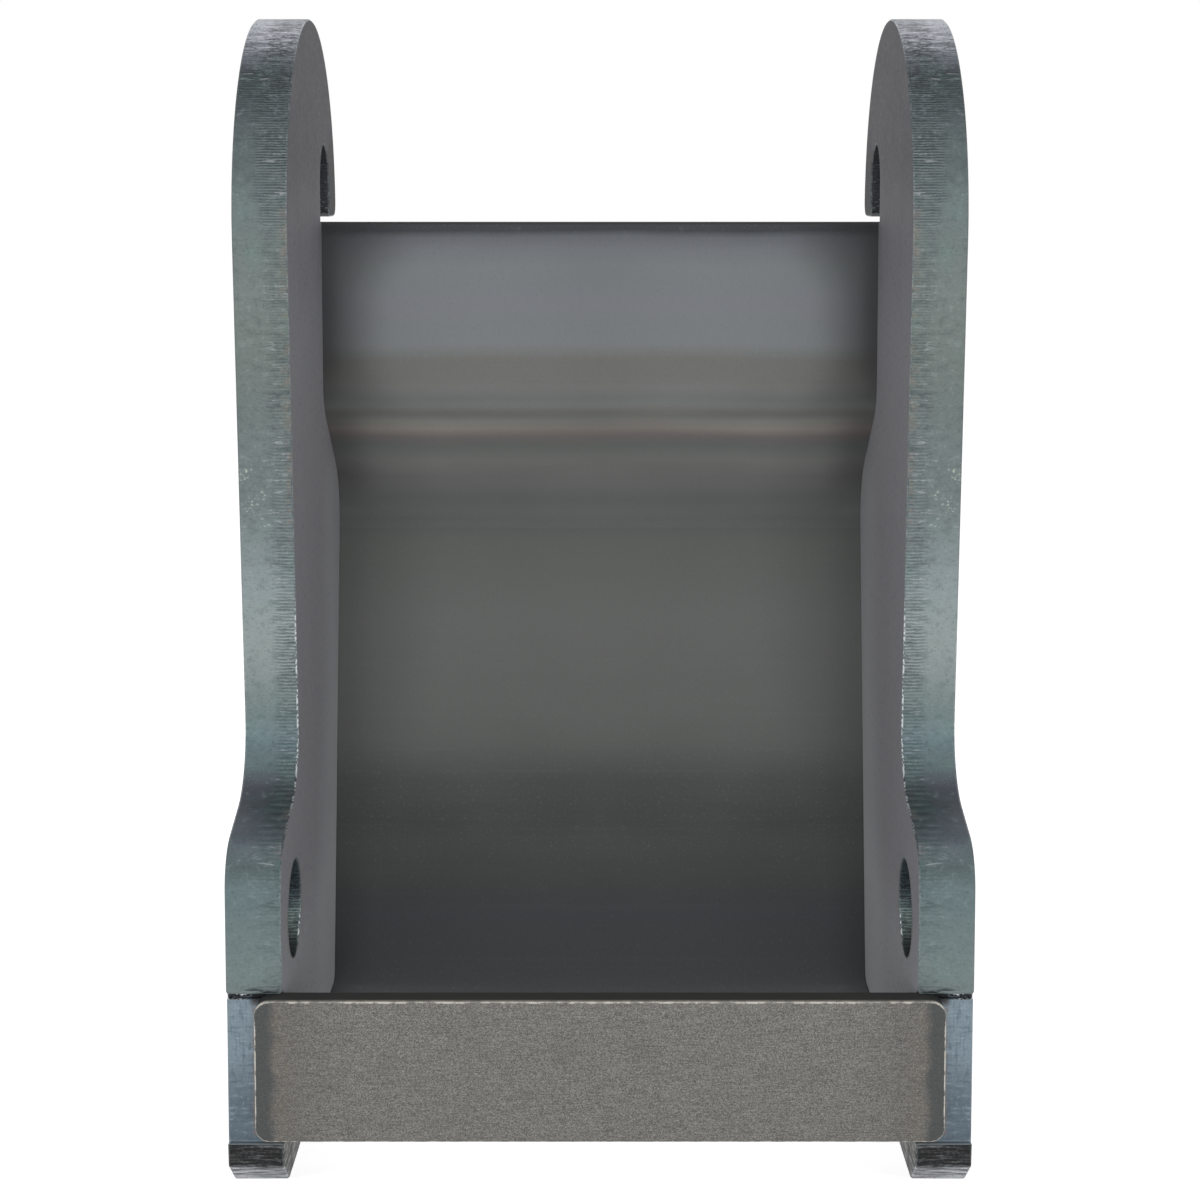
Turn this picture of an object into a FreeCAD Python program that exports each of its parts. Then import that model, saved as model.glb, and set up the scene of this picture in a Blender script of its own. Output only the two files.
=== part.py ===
"""Weld-on hook frame of an excavator quick coupler, in millimetres."""
import os
from math import acos, atan2, cos, hypot, pi, sin, sqrt, tan, radians

import FreeCAD, Part

# Depths run back from the lower front edge of the side plates, and heights up from their feet.
# The model's own origin lies on the axle axis of the hooks, midway between the plates.

# Side plates
overall_width = 266.0
side_plate_thickness = 20.0
edge_break = 0.6

# Hook that hangs on the axle
axle_radius = 15.0
axle_clearance = 0.5
hook_depth = 154.0
hook_height = 361.5
head_radius = 78.5
head_centre_forward = 39.3
head_centre_drop = 15.1
lip_drop = 14.2
lip_tip_radius = 6.0
lip_mouth_radius = 3.0

# Bore of the lock pin
lock_pin_radius = 17.5
lock_pin_clearance = 0.5
lock_bore_depth = 36.4
lock_bore_height = 93.9

# Front edge, from the waist down over the shoulder
waist_depth = 52.3
waist_height = 168.5
shoulder_height = 124.4
shoulder_slope = radians(15.0)
shoulder_inner_radius = 26.0
shoulder_outer_radius = 18.0

# Seat of the cross bar, with a relief cut at its upper end, and the toe below it
seat_sink = 2.0
seat_play_above = 0.2
seat_play_below = 3.8
seat_relief_height = 2.4
seat_relief_depth = 1.6
toe_chamfer_height = 10.0
toe_chamfer_depth = 14.0
toe_lean = 0.8
toe_front_radius = 2.0
toe_rear_radius = 5.0
toe_length = 66.0
toe_rise_length = 14.0
toe_rise_radius = 8.0
heel_height = 23.0
heel_radius = 6.0

# Bent back plate, by the corners of its front face before the bends are rounded
back_plate_thickness = 8.0
back_plate_width = 246.0
top_edge_gap = 1.0
upper_face_forward = 12.0
upper_bend_height = 271.4
lower_bend_depth = 200.6
lower_bend_height = 231.5
lower_end_depth = 157.0
upper_bend_inner_radius = 10.0
lower_bend_inner_radius = 30.0

# Cross bar
bar_height = 51.0
bar_thickness = 10.0
bar_length = 244.0
bar_middle_height = 48.4
bar_corner_radius = 5.0
bar_edge_radius = 0.8

# Weld runs
seam_leg = 6.0
seam_bulge = 0.8
seam_top_gap = 6.0
seam_heel_gap = 10.0
heel_weld_leg = 7.0
bar_weld_leg = 6.0
bar_weld_end_gap = 4.0

# Sizes that follow
hook_radius = axle_radius + axle_clearance
head_centre_depth = hook_depth - head_centre_forward
head_centre_height = hook_height - head_centre_drop
lip_height = hook_height - lip_drop
back_plate_top_height = hook_height - axle_radius - top_edge_gap
upper_face_depth = hook_depth - upper_face_forward
lock_bore_radius = lock_pin_radius + lock_pin_clearance
outer_face = overall_width / 2
inner_face = outer_face - side_plate_thickness
seat_bottom = bar_middle_height - bar_height / 2 - seat_play_below
seat_top = bar_middle_height + bar_height / 2 + seat_play_above
relief_bottom = seat_top - seat_relief_height
relief_sink = seat_sink + seat_relief_depth
foot_height = 0.0


def place(depth, height, across=0.0):
    """Model point from a depth, a height and a distance across the plates."""
    return FreeCAD.Vector(across, depth - hook_depth, height - hook_height)


def toward(start, end):
    """Unit direction from one (depth, height) point to another."""
    length = hypot(end[0] - start[0], end[1] - start[1])
    return (end[0] - start[0]) / length, (end[1] - start[1]) / length


def line_edge(start, end, across=0.0):
    return Part.LineSegment(place(*start, across), place(*end, across)).toShape()


def arc_edge(start, middle, end, across=0.0):
    return Part.Arc(place(*start, across), place(*middle, across), place(*end, across)).toShape()


def corner_round(before, corner, after, radius):
    """Start, middle and end of the arc that rounds a corner."""
    back = toward(corner, before)
    ahead = toward(corner, after)
    half_angle = acos(back[0] * ahead[0] + back[1] * ahead[1]) / 2
    reach = radius / tan(half_angle)
    inward = toward((0.0, 0.0), (back[0] + ahead[0], back[1] + ahead[1]))
    rise = radius / sin(half_angle) - radius
    start = corner[0] + back[0] * reach, corner[1] + back[1] * reach
    middle = corner[0] + inward[0] * rise, corner[1] + inward[1] * rise
    end = corner[0] + ahead[0] * reach, corner[1] + ahead[1] * reach
    return start, middle, end


def rounded_chain(corners, across=0.0):
    """Edges through (depth, height, radius) corners, open at both ends."""
    edges = []
    here = corners[0][:2]
    for before, corner, after in zip(corners, corners[1:], corners[2:]):
        if corner[2] > 0:
            start, middle, end = corner_round(before[:2], corner[:2], after[:2], corner[2])
            edges.append(line_edge(here, start, across))
            edges.append(arc_edge(start, middle, end, across))
            here = end
        else:
            edges.append(line_edge(here, corner[:2], across))
            here = corner[:2]
    edges.append(line_edge(here, corners[-1][:2], across))
    return edges


def crossing(first, first_direction, second, second_direction):
    """Point where two lines meet, each given by a point and a direction."""
    cross = first_direction[0] * second_direction[1] - first_direction[1] * second_direction[0]
    gap = second[0] - first[0], second[1] - first[1]
    along = (gap[0] * second_direction[1] - gap[1] * second_direction[0]) / cross
    return first[0] + first_direction[0] * along, first[1] + first_direction[1] * along


def head_tangent():
    """Point where the front edge runs into the round head, and the edge's direction downward."""
    head = head_centre_depth, head_centre_height
    waist = waist_depth, waist_height
    reach = hypot(head[0] - waist[0], head[1] - waist[1])
    to_head = atan2(head[1] - waist[1], head[0] - waist[0])
    lean = to_head + acos(sqrt(reach ** 2 - head_radius ** 2) / reach)
    run = sqrt(reach ** 2 - head_radius ** 2)
    touch = waist[0] + run * cos(lean), waist[1] + run * sin(lean)
    return touch, (-cos(lean), -sin(lean))


def back_face_line():
    """Corners of the back plate's front face, from its top edge to the level of the feet."""
    return [
        (upper_face_depth, back_plate_top_height, 0.0),
        (upper_face_depth, upper_bend_height, upper_bend_inner_radius + back_plate_thickness),
        (lower_bend_depth, lower_bend_height, lower_bend_inner_radius),
        (lower_end_depth, foot_height, 0.0),
    ]


def depth_on_lower_face(height):
    """Depth of the back plate's front face below its lower bend."""
    share = (height - foot_height) / (lower_bend_height - foot_height)
    return lower_end_depth + (lower_bend_depth - lower_end_depth) * share


def side_plate_outline():
    touch, downward = head_tangent()
    shoulder = 0.0, shoulder_height
    inner_shoulder = crossing(touch, downward, shoulder, (cos(shoulder_slope), sin(shoulder_slope)))
    far_edge = list(reversed(back_face_line()[:3]))
    slot_front = hook_depth - hook_radius
    slot_back = hook_depth + hook_radius
    front_and_foot = [
        (*touch, 0.0),
        (*inner_shoulder, shoulder_inner_radius),
        (*shoulder, shoulder_outer_radius),
        (0.0, seat_top, 0.0),
        (relief_sink, seat_top, 0.0),
        (relief_sink, relief_bottom, 0.0),
        (seat_sink, relief_bottom, 0.0),
        (seat_sink, seat_bottom, 0.0),
        (0.0, seat_bottom, 0.0),
        (toe_lean, toe_chamfer_height, toe_front_radius),
        (toe_chamfer_depth, foot_height, toe_front_radius),
        (toe_length, foot_height, toe_rear_radius),
        (toe_length + toe_rise_length, heel_height, toe_rise_radius),
        (depth_on_lower_face(heel_height), heel_height, heel_radius),
        *far_edge,
        (slot_front, back_plate_top_height, 0.0),
        (slot_front, hook_height, 0.0),
    ]
    edges = rounded_chain(front_and_foot)
    slot_top = hook_depth, hook_height + hook_radius
    edges.append(arc_edge((slot_front, hook_height), slot_top, (slot_back, hook_height)))

    tip_height = lip_height + lip_tip_radius
    tip_reach = head_radius - lip_tip_radius
    tip_depth = head_centre_depth + sqrt(tip_reach ** 2 - (tip_height - head_centre_height) ** 2)
    outward = toward((head_centre_depth, head_centre_height), (tip_depth, tip_height))
    tip_turn = (atan2(outward[1], outward[0]) - pi / 2) / 2
    tip_end = (
        head_centre_depth + head_radius * outward[0],
        head_centre_height + head_radius * outward[1],
    )
    tip_middle = (
        tip_depth + lip_tip_radius * cos(tip_turn),
        tip_height + lip_tip_radius * sin(tip_turn),
    )
    lip = [
        (slot_back, hook_height, 0.0),
        (slot_back, lip_height, lip_mouth_radius),
        (tip_depth, lip_height, 0.0),
    ]
    edges += rounded_chain(lip)
    edges.append(arc_edge((tip_depth, lip_height), tip_middle, tip_end))
    edges.append(arc_edge(tip_end, (head_centre_depth, head_centre_height + head_radius), touch))
    return Part.Wire(edges)


def make_side_plate():
    """Flame-cut plate on the -X side, with its hook, lock bore, bar seat and toe."""
    blank = Part.Face(side_plate_outline())
    blank.translate(FreeCAD.Vector(-outer_face, 0, 0))
    plate = blank.extrude(FreeCAD.Vector(side_plate_thickness, 0, 0))
    rim = [edge for edge in plate.Edges if edge.BoundBox.XLength < 1e-6]
    plate = plate.makeChamfer(edge_break, rim)
    bore_start = place(lock_bore_depth, lock_bore_height, -outer_face)
    bore = Part.makeCylinder(lock_bore_radius, side_plate_thickness, bore_start, FreeCAD.Vector(1, 0, 0))
    return plate.cut(bore)


def offset_corners(corners, distance):
    """Corner points moved to the rear side of the sheet, mitred at the bends."""
    runs = [toward(start[:2], end[:2]) for start, end in zip(corners, corners[1:])]
    moved = []
    for corner, before, ahead in zip(corners, runs[:1] + runs, runs + runs[-1:]):
        first = corner[0] - before[1] * distance, corner[1] + before[0] * distance
        second = corner[0] - ahead[1] * distance, corner[1] + ahead[0] * distance
        moved.append(first if before == ahead else crossing(first, before, second, ahead))
    return moved


def make_back_plate():
    """Sheet with two opposite bends that closes the far edges of the side plates."""
    front = back_face_line()
    rear = offset_corners(front, back_plate_thickness)
    lift = foot_height - min(front[-1][1], rear[-1][1])
    slide = toward(front[-1][:2], front[-2][:2])
    along = lift / slide[1]
    front[-1] = (front[-1][0] + slide[0] * along, front[-1][1] + slide[1] * along, 0.0)
    rear[-1] = (rear[-1][0] + slide[0] * along, rear[-1][1] + slide[1] * along)
    rear_radii = [0.0, upper_bend_inner_radius, lower_bend_inner_radius + back_plate_thickness, 0.0]
    rear = [(*point, radius) for point, radius in zip(rear, rear_radii)]
    edges = rounded_chain(front)
    edges.append(line_edge(front[-1][:2], rear[-1][:2]))
    edges += rounded_chain(list(reversed(rear)))
    edges.append(line_edge(rear[0][:2], front[0][:2]))
    sheet = Part.Face(Part.Wire(edges))
    sheet.translate(FreeCAD.Vector(-back_plate_width / 2, 0, 0))
    return sheet.extrude(FreeCAD.Vector(back_plate_width, 0, 0))


def make_cross_bar():
    """Flat bar with round corners that lies in the seats at the front."""
    front = seat_sink - bar_thickness
    corner = place(front, bar_middle_height - bar_height / 2, -bar_length / 2)
    bar = Part.makeBox(bar_length, bar_thickness, bar_height, corner)
    short_edges = [edge for edge in bar.Edges if abs(edge.tangentAt(edge.FirstParameter).y) > 0.99]
    bar = bar.makeFillet(bar_corner_radius, short_edges)
    front_level = place(front, bar_middle_height).y
    rim = [edge for edge in bar.Edges if abs(edge.BoundBox.YMax - front_level) < 1e-6]
    return bar.makeFillet(bar_edge_radius, rim)


def bead_section(corner, first_leg, second_leg, bulge):
    """Closed fillet section with a domed face, from its root and the ends of its two legs."""
    first = corner + first_leg
    second = corner + second_leg
    crown = (first + second) * 0.5 + (first_leg + second_leg).normalize() * bulge
    dome = Part.Arc(first, crown, second).toShape()
    legs = [Part.LineSegment(corner, first).toShape(), Part.LineSegment(second, corner).toShape()]
    return Part.Wire([legs[0], dome, legs[1]])


def make_back_seam():
    """Fillet run on the -X side, along the far edge of the side plate beside the back plate."""
    line = back_face_line()
    top = line[0][0], line[0][1] - seam_top_gap
    end_height = heel_height + seam_heel_gap
    end = depth_on_lower_face(end_height), end_height
    across = -back_plate_width / 2
    path = Part.Wire(rounded_chain([(*top, 0.0), *line[1:3], (*end, 0.0)], across))
    section = bead_section(
        place(*top, across),
        FreeCAD.Vector(-seam_leg, 0, 0),
        FreeCAD.Vector(0, seam_leg, 0),
        seam_bulge,
    )
    sweep = Part.BRepOffsetAPI.MakePipeShell(path)
    sweep.setBiNormalMode(FreeCAD.Vector(1, 0, 0))
    sweep.add(section)
    sweep.build()
    sweep.makeSolid()
    return sweep.shape()


def make_heel_weld(side_plate):
    """Run under the rear foot of the side plate, against the front face of the back plate."""
    top = heel_height + 2 * heel_radius
    toe = heel_height - heel_weld_leg
    front = depth_on_lower_face(heel_height) - heel_radius - heel_weld_leg
    across = -back_plate_width / 2
    corners = [
        place(depth_on_lower_face(top), top, across),
        place(depth_on_lower_face(toe), toe, across),
        place(front, heel_height, across),
    ]
    wedge = Part.Face(Part.makePolygon(corners + corners[:1]))
    solid = wedge.extrude(FreeCAD.Vector(back_plate_width / 2 - inner_face, 0, 0))
    return solid.cut(side_plate)


def make_bar_weld():
    """Upright run behind the -X end of the cross bar, against the inner face of the side plate."""
    low = bar_middle_height - bar_height / 2 + bar_weld_end_gap
    section = bead_section(
        place(seat_sink, low, -inner_face),
        FreeCAD.Vector(bar_weld_leg, 0, 0),
        FreeCAD.Vector(0, bar_weld_leg, 0),
        seam_bulge,
    )
    return Part.Face(section).extrude(FreeCAD.Vector(0, 0, bar_height - 2 * bar_weld_end_gap))


def save(node, shape):
    shape.exportStep("parts/" + node + ".step")
    print(node, "valid", shape.isValid(), "solids", len(shape.Solids), "volume", round(shape.Volume))


def save_pair(name, left_shape):
    """Write a piece of the -X side and its mirror image on the +X side."""
    save("left_" + name, left_shape)
    save("right_" + name, left_shape.mirror(FreeCAD.Vector(0, 0, 0), FreeCAD.Vector(1, 0, 0)))


os.makedirs("parts", exist_ok=True)
side_plate = make_side_plate()
save_pair("side_plate", side_plate)
save("back_plate", make_back_plate())
save("lower_cross_bar", make_cross_bar())
save_pair("back_seam_weld", make_back_seam())
save_pair("heel_weld", make_heel_weld(side_plate))
save_pair("bar_weld", make_bar_weld())
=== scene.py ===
from math import pi, radians, tan
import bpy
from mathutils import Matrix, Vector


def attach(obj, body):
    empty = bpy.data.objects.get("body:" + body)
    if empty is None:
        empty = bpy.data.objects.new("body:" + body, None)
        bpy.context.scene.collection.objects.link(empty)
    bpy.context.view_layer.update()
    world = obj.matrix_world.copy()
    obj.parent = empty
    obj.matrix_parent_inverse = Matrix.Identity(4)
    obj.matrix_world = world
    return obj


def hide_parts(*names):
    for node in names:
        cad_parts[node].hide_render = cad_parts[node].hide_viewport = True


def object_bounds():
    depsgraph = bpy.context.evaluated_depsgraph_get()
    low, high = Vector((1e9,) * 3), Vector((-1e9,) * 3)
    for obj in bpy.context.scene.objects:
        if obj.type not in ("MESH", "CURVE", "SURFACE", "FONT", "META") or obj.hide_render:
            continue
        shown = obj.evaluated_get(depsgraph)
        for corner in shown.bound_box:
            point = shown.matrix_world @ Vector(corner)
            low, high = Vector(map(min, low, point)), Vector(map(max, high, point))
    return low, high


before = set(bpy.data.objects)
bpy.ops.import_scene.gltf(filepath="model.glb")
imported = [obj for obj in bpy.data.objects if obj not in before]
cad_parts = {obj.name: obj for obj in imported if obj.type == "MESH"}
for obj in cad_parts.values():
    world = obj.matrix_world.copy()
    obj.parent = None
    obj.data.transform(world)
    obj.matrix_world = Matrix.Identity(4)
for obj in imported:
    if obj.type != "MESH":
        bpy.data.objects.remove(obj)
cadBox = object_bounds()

from types import SimpleNamespace

import bpy
from mathutils import Vector

# Weld-on hook frame of an excavator quick coupler: the finish of its plates, and its weld beads.
# Blender's metres and the frame's own origin: the axle axis of the hooks, midway between the plates.
# +X right, +Y back to the machine's side, +Z up.

mm = 0.001


class Wire:
    # One socket of a material's node tree. Sums and products on it add Math nodes.
    def __init__(self, tree, socket=None):
        self.tree = tree
        self.socket = socket

    def node(self, kind, settings=None, inputs=None, output=0):
        made = self.tree.nodes.new(kind)
        for name, value in (settings or {}).items():
            if name == "stops":
                fillRamp(made.color_ramp, value)
            else:
                setattr(made, name, value)
        for name, value in (inputs or {}).items():
            if isinstance(value, Wire):
                self.tree.links.new(value.socket, made.inputs[name])
            else:
                made.inputs[name].default_value = value
        return Wire(self.tree, made.outputs[output])

    def math(self, operation, first, second=0.0):
        return self.node("ShaderNodeMath", {"operation": operation}, {0: first, 1: second})

    def __add__(self, other):
        return self.math("ADD", self, other)

    def __sub__(self, other):
        return self.math("SUBTRACT", self, other)

    def __mul__(self, other):
        return self.math("MULTIPLY", self, other)

    def __truediv__(self, other):
        return self.math("DIVIDE", self, other)

    def __pow__(self, other):
        return self.math("POWER", self, other)

    def __abs__(self):
        return self.math("ABSOLUTE", self)

    def __radd__(self, other):
        return self.math("ADD", other, self)

    def __rsub__(self, other):
        return self.math("SUBTRACT", other, self)

    def __rmul__(self, other):
        return self.math("MULTIPLY", other, self)

    def larger(self, other):
        return self.math("MAXIMUM", self, other)

    def smaller(self, other):
        return self.math("MINIMUM", self, other)

    def through(self, function):
        # this value through a function of one number, such as its sine
        return self.math(function, self)

    def rise(self, low, high):
        # 0 below low, 1 above high, smooth between
        settings = {"interpolation_type": "SMOOTHSTEP"}
        return self.node("ShaderNodeMapRange", settings, {0: self, 1: low, 2: high, 3: 0.0, 4: 1.0})

    def fall(self, low, high):
        # 1 below low, 0 above high
        return 1 - self.rise(low, high)

    def within(self, low, lowFull, highFull, high):
        # 1 between the two inner numbers, 0 outside the outer ones
        return self.rise(low, lowFull) * self.fall(highFull, high)

    def ramp(self, stops):
        return self.node("ShaderNodeValToRGB", {"stops": stops}, {0: self})

    def over(self, mask, colour):
        # this colour, covered by another where the mask is 1
        return self.node("ShaderNodeMix", {"data_type": "RGBA"}, {0: mask, 6: self, 7: colour}, 2)

    def scaled(self, factor):
        # this colour or vector made stronger or weaker by a number
        return self.node("ShaderNodeVectorMath", {"operation": "SCALE"}, {0: self, 3: factor})

    def noise(self, stretch, detail=4.0, rough=0.55, seed=0.0):
        # noise on a position in millimetres, with so many cycles per millimetre along each axis
        settings = {"operation": "MULTIPLY_ADD"}
        inputs = {0: self, 1: stretch, 2: (seed, seed * 1.7, seed * 0.6)}
        where = self.node("ShaderNodeVectorMath", settings, inputs)
        return where.node("ShaderNodeTexNoise", {}, {"Vector": where, "Scale": 1.0, "Detail": detail,
                                                     "Roughness": rough})

    def axis(self, index):
        return self.node("ShaderNodeSeparateXYZ", {}, {0: self}, index)


def fillRamp(ramp, stops):
    while len(ramp.elements) > 1:
        ramp.elements.remove(ramp.elements[-1])
    for number, (position, colour) in enumerate(stops):
        element = ramp.elements[0] if number == 0 else ramp.elements.new(position)
        element.position = position
        element.color = colour


def grey(red, green, blue):
    # a colour named as on a screen, 0 to 255, made linear
    def linear(value):
        share = value / 255
        return share / 12.92 if share <= 0.04045 else ((share + 0.055) / 1.055) ** 2.4
    return (linear(red), linear(green), linear(blue), 1.0)


def startMaterial(name):
    # an empty material, its shader and the position on the piece in millimetres
    material = bpy.data.materials.new(name)
    material.use_nodes = True
    shader = material.node_tree.nodes["Principled BSDF"]
    start = Wire(material.node_tree)
    place = start.node("ShaderNodeTexCoord", {}, {}, "Object").scaled(1000.0)
    return material, shader, place


def connect(material, shader, values):
    for name, value in values.items():
        if isinstance(value, Wire):
            material.node_tree.links.new(value.socket, shader.inputs[name])
        else:
            shader.inputs[name].default_value = value


def bumped(height, strength, depth):
    # a normal that follows the height, which stands for so many millimetres at 1
    inputs = {"Height": height, "Strength": strength, "Distance": depth * mm}
    return height.node("ShaderNodeBump", {}, inputs)


plateFinish = {
    "innerFace": 113.0,                                 # mm from the middle of the frame
    "thickness": 20.0,
    "feet": -361.5,                                     # mm, height of the feet from the axle axis
    "tall": 425.0,
    "rolledSkin": grey(96, 96, 100),
    "rolledDark": grey(84, 84, 88),
    "rolledSpeck": grey(124, 122, 126),
    "rolledPit": grey(68, 68, 74),
    "paintedInnerLight": grey(130, 130, 134),
    "paintedLowInnerLight": grey(164, 166, 168),
    "faceLight": grey(206, 209, 211),
    "rust": grey(122, 98, 84),
    "cutGreen": grey(92, 122, 112),
    "heatPurple": grey(78, 74, 86),
    "flake": grey(176, 188, 168),
    "groove": grey(48, 57, 60),
    "ridge": grey(158, 170, 174),
    "headLight": grey(206, 208, 218),
    "burrGlint": grey(212, 216, 218),
    "slotWall": grey(42, 44, 47),
    "seatFoot": grey(90, 101, 110),
    "seatTop": grey(116, 130, 139),
    "seatLight": grey(142, 157, 167),
    "seatDeep": grey(70, 82, 94),
    "darkMarksAndShade": grey(30, 30, 32),
    "toeFront": [(0.34, grey(26, 26, 27)), (0.52, grey(41, 41, 42)), (0.68, grey(108, 110, 111))],
    "toeFootSkinAndLight": [(0.40, grey(30, 32, 34)), (0.49, grey(126, 128, 132)), (0.63, grey(200, 202, 206))],
    "toeGrain": [(0.38, grey(36, 36, 36)), (0.50, grey(92, 91, 89)), (0.61, grey(158, 157, 154))],
    "lockBore": (-117.6, -267.6, 18.0),                 # depth, height and radius in mm
    "sheetBend": (13.5, -143.7, 30.0),                  # the same of the edge at the sheet's bend
    "sheetRun": (-328.5, -130.0, 0.188, 46.6),          # its lower run: two heights, slope, depth at its top
    "frontDepths": (-150.0, -149.0),                    # where the marks of the front edge end
    "headMiddle": -15.1,                                # height of the round head's middle
    "headRadius": 78.5,
    "dragPitch": 1.25,                                  # mm from one drag line to the next
    "toothPitch": 1.0,                                  # the same on the walls of the bore and the slot
    "slotRadius": 15.5,
    "slotFoot": -17.0,
    "seat": (-342.4, -287.4),                           # heights of its lower and upper end
    "relief": 2.4,                                      # height of the cut at its upper end
}

# Heights between which a mark, a painted light or a painted shade on the side plates comes in, in mm, and
# then those where it ends
plateZones = {
    "headTop": (40.0, 52.0),
    "headEdge": (8.0, 30.0),
    "headSway": (20.0, 40.0),
    "upperCut": (-30.0, 10.0),
    "lowerLines": (-246.0, -226.0),
    "plainLines": (-150.0, -110.0),
    "upperLines": (-26.0, 12.0),
    "markedCut": (-264.0, -248.0),
    "heated": (-240.0, -230.0, -224.0, -216.0),
    "tornSkin": (6.0, 16.0),
    "tornDark": (32.0, 48.0),
    "tornLight": (46.0, 56.0),
    "rustHigh": (-140.0, -120.0, -20.0, 6.0),
    "rustLow": (-250.0, -242.0, -230.0, -220.0),
    "flakes": (-132.0, -122.0, -106.0, -98.0),
    "slotMouth": (-11.0, -3.0),
    "smears": (-286.6, -284.0),
    "seatTints": (-332.0, -306.0),
    "barShadowOnSeat": (-294.0, -290.0),
    "foot": (-352.0, -351.0),
    "paintedInnerLight": (-70.0, 10.0),
    "paintedLowInnerLight": (-345.0, -250.0),
    "lip": (-18.5, -17.0, 2.0, 40.0),
    "headShade": (-18.0, 14.0),
    "sheetLight": (-130.0, -100.0),
    "lowLight": (-300.0, -200.0),
    "bendRimGlint": (-136.0, -132.0, -118.0, -112.0),
    "frontGlints": (-238.0, -226.0, -168.0, -150.0),
    "bendGlints": (-137.0, -130.0, -112.0, -104.0),
    "boreGlints": (-283.5, -281.0, -274.0, -271.5),
}

# Tints of the lock bore's wall from its foot up, with a painted highlight across its lower part: height in
# mm, colour
boreTintsAndHighlight = [
    (-286.0, grey(40, 44, 44)), (-283.0, grey(66, 74, 73)), (-279.0, grey(116, 131, 127)),
    (-274.5, grey(126, 143, 140)), (-271.0, grey(88, 102, 108)), (-266.0, grey(62, 75, 82)),
    (-257.0, grey(58, 69, 78)), (-250.0, grey(48, 55, 60)),
]

# Tints of the flame-cut edges from the feet up to the top of the head, with painted shade and light where
# the edge turns, such as dark below the head's top and light on the top itself; height in mm, colour
cutTintsWithLightAndShade = [
    (-361.5, grey(120, 124, 130)), (-286.0, grey(104, 114, 114)), (-251.0, grey(90, 105, 107)),
    (-241.0, grey(79, 90, 92)), (-233.0, grey(83, 93, 99)), (-224.0, grey(54, 62, 65)),
    (-216.0, grey(89, 102, 105)), (-208.0, grey(94, 110, 113)), (-192.0, grey(111, 122, 122)),
    (-172.0, grey(129, 138, 137)), (-150.0, grey(123, 133, 135)), (-118.0, grey(100, 109, 110)),
    (-80.0, grey(96, 105, 103)), (-60.0, grey(98, 106, 103)), (-39.0, grey(101, 109, 107)),
    (-20.0, grey(95, 103, 102)), (-7.0, grey(97, 107, 108)), (12.0, grey(86, 95, 96)),
    (24.0, grey(68, 76, 78)), (33.0, grey(50, 58, 60)), (40.0, grey(38, 42, 47)),
    (46.0, grey(98, 102, 110)), (50.0, grey(149, 152, 160)), (54.0, grey(186, 188, 197)),
    (62.0, grey(200, 203, 211)),
]


def tintsByHeight(height, tints, low, tall):
    stops = [((at - low) / tall, colour) for at, colour in tints]
    return ((height - low) / tall).ramp(stops)


def distance(depth, height, middle):
    return ((depth - middle[0]) ** 2 + (height - middle[1]) ** 2) ** 0.5


def markPlate(place):
    # where a point lies on its side plate, and the patterns that the plate's finishes share;
    # every pattern is the same at both sides of the middle
    look, zones = plateFinish, plateZones
    at = SimpleNamespace()
    at.across = abs(place.axis(0)) - look["innerFace"]  # mm, 0 on the inner face
    at.depth = place.axis(1)
    at.height = place.axis(2)
    at.fold = place.node("ShaderNodeCombineXYZ", {}, {0: at.across, 1: at.depth, 2: at.height})
    intoPlate = at.across.smaller(look["thickness"] - at.across)
    at.face = intoPlate.fall(0.02, 0.08)
    at.cut = intoPlate.rise(0.3, 0.8)
    at.onInnerFace = at.across.fall(5.0, 8.0)
    at.atFront = at.depth.fall(*look["frontDepths"])
    at.headTop = at.height.rise(*zones["headTop"])
    at.upperCut = at.height.rise(*zones["upperCut"])
    at.fromInner = at.across - 4.0 * at.upperCut        # higher up the lines reach further across
    at.calm = 1 - 0.5 * at.height.fall(*zones["markedCut"])     # fewer marks beside the bore

    at.lines = at.fold.noise((0.10, 0.55, 0.55), 4.0, 0.74, 3.1)
    at.hatch = at.fold.noise((0.22, 1.25, 1.25), 2.0, 0.6, 8.4)
    at.crumb = at.fold.noise((0.9, 1.3, 1.3), 4.0, 0.65, 5.2)
    at.mottle = at.fold.noise((0.25, 0.28, 0.28), 5.0, 0.66, 6.7)
    at.grain = at.fold.noise((0.7, 0.7, 0.55), 4.0, 0.75, 7.7)
    at.smears = at.fold.noise((0.10, 0.5, 1.1), 4.0, 0.7, 5.7)
    at.spells = at.fold.noise((0.02, 0.07, 0.07), 2.0, 0.5, 1.9).rise(0.36, 0.58)
    at.toe = at.height.fall(look["seat"][0] - 0.5, look["seat"][0] - 0.1)
    at.fromBore = distance(at.depth, at.height, look["lockBore"])
    onTooth = (at.height + (at.lines - 0.5) * 1.4) * (2 * pi / look["toothPitch"])
    at.teeth = onTooth.through("SINE").rise(-0.1, 0.6)
    addDragLines(at)
    return at


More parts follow.
